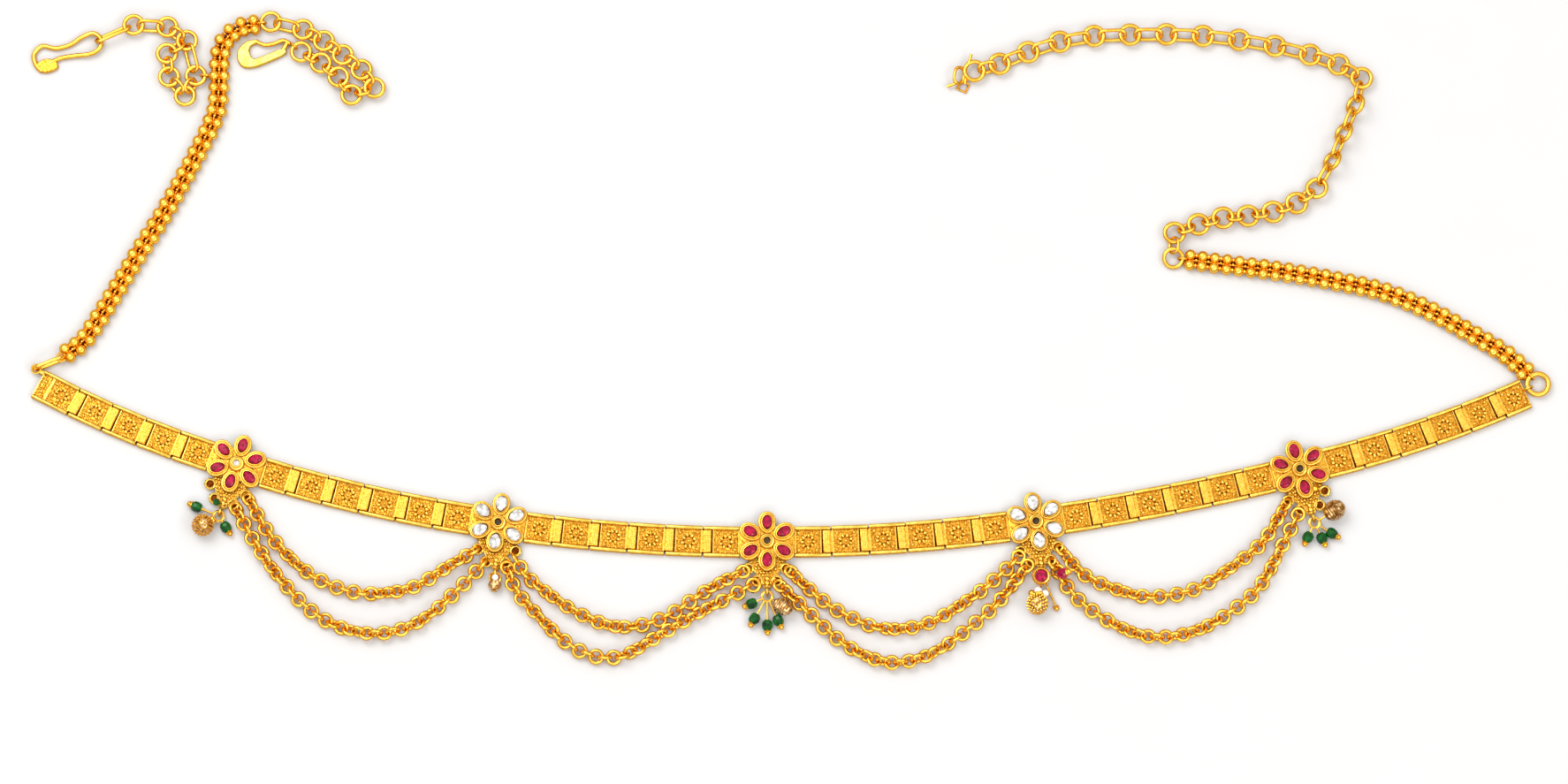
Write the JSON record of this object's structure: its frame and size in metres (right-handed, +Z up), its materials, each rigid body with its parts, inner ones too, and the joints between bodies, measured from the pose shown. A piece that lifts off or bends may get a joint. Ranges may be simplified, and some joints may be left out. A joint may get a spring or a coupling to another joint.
{
  "type": "waist belt",
  "caption": "Gold-toned hip belt of hinged cast panels with stone flowers, swag chains, drops, bead ropes and a hooked back chain, laid flat.",
  "frame": {"origin": "on the table plane, under the middle of the middle flower", "axes": "+X along the belt to the right, +Y towards the back chain, +Z up from the table"},
  "size_m": [0.4489, 0.1996, 0.0074],
  "materials": {
    "satin_gold": "satin, gold plated",
    "chain_gold": "bright, gold plated",
    "polished_gold": "polished, gold plated",
    "ruby_glass": "polished, cut",
    "clear_glass": "polished, cut",
    "green_glass": "polished, cut"
  },
  "bodies": {
    "root": {"panel_a1": "satin_gold", "panel_a2": "satin_gold", "panel_a3": "satin_gold", "panel_a4": "satin_gold", "panel_a5": "satin_gold", "panel_b1": "satin_gold", "panel_b2": "satin_gold", "panel_b3": "satin_gold", "panel_b4": "satin_gold", "panel_b5": "satin_gold", "panel_b6": "satin_gold", "panel_c1": "satin_gold", "panel_c2": "satin_gold", "panel_c3": "satin_gold", "panel_c4": "satin_gold", "panel_c5": "satin_gold", "panel_c6": "satin_gold", "panel_d1": "satin_gold", "panel_d2": "satin_gold", "panel_d3": "satin_gold", "panel_d4": "satin_gold", "panel_d5": "satin_gold", "panel_d6": "satin_gold", "panel_e1": "satin_gold", "panel_e2": "satin_gold", "panel_e3": "satin_gold", "panel_e4": "satin_gold", "panel_e5": "satin_gold", "panel_e6": "satin_gold", "panel_f1": "satin_gold", "panel_f2": "satin_gold", "panel_f3": "satin_gold", "panel_f4": "satin_gold", "panel_f5": "satin_gold", "panel_f6": "satin_gold", "flower_1": "satin_gold", "flower_2": "satin_gold", "flower_3": "satin_gold", "flower_4": "satin_gold", "flower_5": "satin_gold", "swag_1_upper": "chain_gold", "swag_1_lower": "chain_gold", "swag_2_upper": "chain_gold", "swag_2_lower": "chain_gold", "swag_3_upper": "chain_gold", "swag_3_lower": "chain_gold", "swag_4_upper": "chain_gold", "swag_4_lower": "chain_gold", "ruby_stones": "ruby_glass", "clear_stones": "clear_glass", "rope_left": "polished_gold", "rope_right": "polished_gold", "rope_cores": "polished_gold", "back_chain": "polished_gold", "hook_chain": "polished_gold", "side_chain": "polished_gold", "wire_hook": "polished_gold", "flat_hook": "polished_gold", "drop_metal": "polished_gold", "green_beads": "green_glass"}
  },
  "joints": []
}
